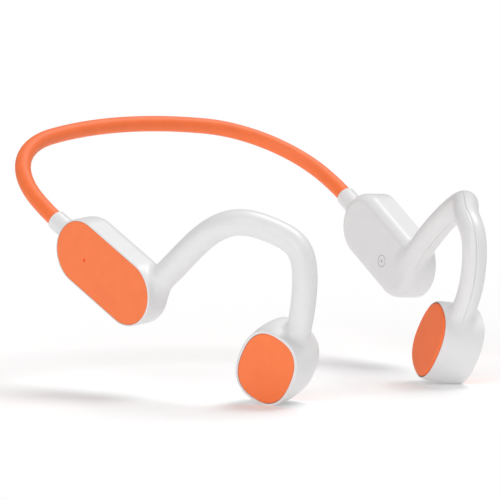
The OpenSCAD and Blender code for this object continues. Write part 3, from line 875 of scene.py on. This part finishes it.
def box_ring(width, height, depth, corner):
    """Outline with rounded corners round the port, in a plane across the pod's Y."""
    turn = np.linspace(0, 2 * np.pi, 96, endpoint=False) + np.pi / 96
    spokes = np.column_stack([np.cos(turn), np.sin(turn)])
    sizes = np.array([width / 2 - corner, height / 2 - corner])
    ring = spokes * (sizes / np.abs(spokes)).min(1)[:, None] + corner * spokes
    return np.column_stack([ring[:, 0], np.full(96, depth), PORT_Z + ring[:, 1]])


def add_port_recess(body, material):
    """Walls and floor of the recess behind the flap, down to the mouth of the port."""
    wide, high, floor = FLAP_W + 0.44, FLAP_H + 0.34, POD_R - FLAP_T
    mouth = floor - 0.02
    rings = [
        box_ring(wide + 0.6, high + 0.6, POD_R - 0.38, 0.15),
        box_ring(wide, high, POD_R - 0.38, 0.15),
        box_ring(wide, high, mouth, 0.15),
        box_ring(PORT_W, PORT_H, mouth, PORT_H / 2 - 0.05),
        box_ring(PORT_W, PORT_H, floor - 0.5, PORT_H / 2 - 0.05),
        box_ring(wide + 0.6, high + 0.6, floor - 0.5, 0.15)]
    points, faces = loft(rings, closed=True)
    piece = add_piece("port_recess", pod.world(points), faces, material, body)
    crease(piece)


# Neckband --------------------------------------------------------------------------------

# Radius and angle of the two arcs of each half: a slow one along the side and the corner bend
SIDE_R, BEND_R, SIDE_ANGLE, BEND_ANGLE = 73, 40.3, 12.2, 71
SLEEVE_R = 2.75


def ray(angle):
    return np.array([cosine(angle), sine(angle)])


def band_path(spacing=1.0):
    """Centreline of the left half of the neckband, from inside the collar to the middle of the
    back, with the direction across the band in its plane and the plane's own normal."""
    end = pod.origin - (COLLAR_REACH - INSERT) * pod_axis
    tilt = np.degrees(np.arctan2(-pod_axis[2], -pod_axis[1]))
    splay = np.degrees(np.arctan2(-pod_axis[0], np.hypot(pod_axis[1], pod_axis[2])))
    side_from = -splay
    bend_from = side_from + SIDE_ANGLE
    back_from = bend_from + BEND_ANGLE
    side_centre = np.array([end[0], 0]) - SIDE_R * ray(side_from)
    bend_centre = side_centre + (SIDE_R - BEND_R) * ray(bend_from)
    back_r = BEND_R + bend_centre[0] / cosine(back_from)
    back_centre = bend_centre + (BEND_R - back_r) * ray(back_from)
    flat_points, across = [], []
    for centre, radius, start, stop in ((side_centre, SIDE_R, side_from, bend_from),
                                        (bend_centre, BEND_R, bend_from, back_from),
                                        (back_centre, back_r, back_from, 90)):
        steps = int(np.ceil(np.radians(stop - start) * radius / spacing))
        for a in np.linspace(start, stop, steps + 1)[(1 if flat_points else 0):]:
            flat_points.append(centre + radius * ray(a))
            across.append(ray(a))
    rise = np.array([[1, 0, 0], [0, cosine(tilt), sine(tilt)]])
    points = np.array(flat_points) @ rise + [0, end[1], end[2]]
    normal = np.array([0, -sine(tilt), cosine(tilt)])
    return points, np.array(across) @ rise, normal


def add_lead(name, side, radius, offset, around, material, nodes, tail=0.0):
    """Half of the sleeve or of a lead inside it, from the middle of the back to one pod. offset
    is how far it lies off the band's centreline, and tail how far it goes on into the pod."""
    points, across, normal = band_path()
    if tail:
        start = points[0] + tail * unit(points[0] - points[1])
        points, across = np.vstack([[start], points]), np.vstack([[across[0]], across])
    points = points + offset * normal
    turn = np.linspace(0, 2 * np.pi, around, endpoint=False)
    rings = [p + radius * (np.outer(np.cos(turn), a) + np.outer(np.sin(turn), normal))
             for p, a in zip(points, across)]
    mesh_points, faces = loft(rings)
    faces = [f[::-1] for f in faces]
    last = len(mesh_points) - around
    faces += [list(range(around)), list(range(len(mesh_points) - 1, last - 1, -1))]
    piece = add_piece(name, mesh_points, faces, material, mirrored=side == "right")
    crease(piece)
    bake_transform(piece)
    if nodes:
        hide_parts(*nodes)


# Finishes of the pieces that keep their shape --------------------------------------------

NODE_FINISH = {
    "pod_gasket": "gasket_foam", "hook_wire": "spring_steel", "hook_cable": "cable_jacket",
    "yoke": "plated_steel", "magnet": "magnet", "pole_plate": "plated_steel",
    "voice_coil": "copper_wire", "spring_plate": "spring_steel", "vibration_plate": "white_plastic",
    "main_board": "circuit_board", "main_board_screws": "plated_steel",
    "bluetooth_module": "plated_steel", "microphone": "gold_plate",
    "microphone_boot": "gasket_foam", "button_board": "circuit_board",
    "button_switches": "black_plastic", "volume_down_button": "white_plastic",
    "power_button": "white_plastic", "volume_up_button": "white_plastic",
    "battery": "battery_wrap", "charge_board": "circuit_board",
    "charge_board_screws": "plated_steel", "usb_receptacle": "plated_steel",
    "port_flap": "white_silicone",
}


def finish_nodes(materials):
    """Gives its finish to each CAD node that no other piece stands for."""
    for name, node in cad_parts.items():
        if node.hide_render:
            continue
        short = name.split("_", 1)[1] if name.startswith(("left_", "right_")) else name
        node.data.materials.clear()
        node.data.materials.append(materials[NODE_FINISH[short]])


def add_neckband(side, materials):
    """Sleeve, wire and cable of one half. The left half stands for the nodes that run all round."""
    whole = (["sleeve_back"], ["band_wire"], ["band_cable"]) if side == "left" else ([], [], [])
    add_lead(side + "_sleeve", side, SLEEVE_R, 0, 48, materials["orange_silicone"],
             [side + "_sleeve_bend", side + "_sleeve_side"] + whole[0])
    add_lead(side + "_band_wire", side, 0.5, 1.1, 16, materials["spring_steel"],
             whole[1], 9)
    add_lead(side + "_band_cable", side, 0.75, -1.1, 16, materials["cable_jacket"],
             whole[2], 9)


def build():
    add_camera()
    add_studio()
    materials = add_materials()
    mesh = unit_mesh(0.55)
    split_features(mesh)
    for side in ("left", "right"):
        body = side + "_unit"
        add_unit_shells(mesh, side, body, materials)
        add_cover(side, body, materials["orange_plastic"])
        add_cap(side, body, materials["orange_plastic"])
        add_pad(side, side + "_driver", materials["orange_silicone"])
        add_collar(side, body, materials["white_plastic"])
        add_mark(side, body, materials["mark_ink"])
        add_neckband(side, materials)
    add_port_recess("left_unit", materials["white_plastic"])
    finish_nodes(materials)


build()
bpy.context.view_layer.update()
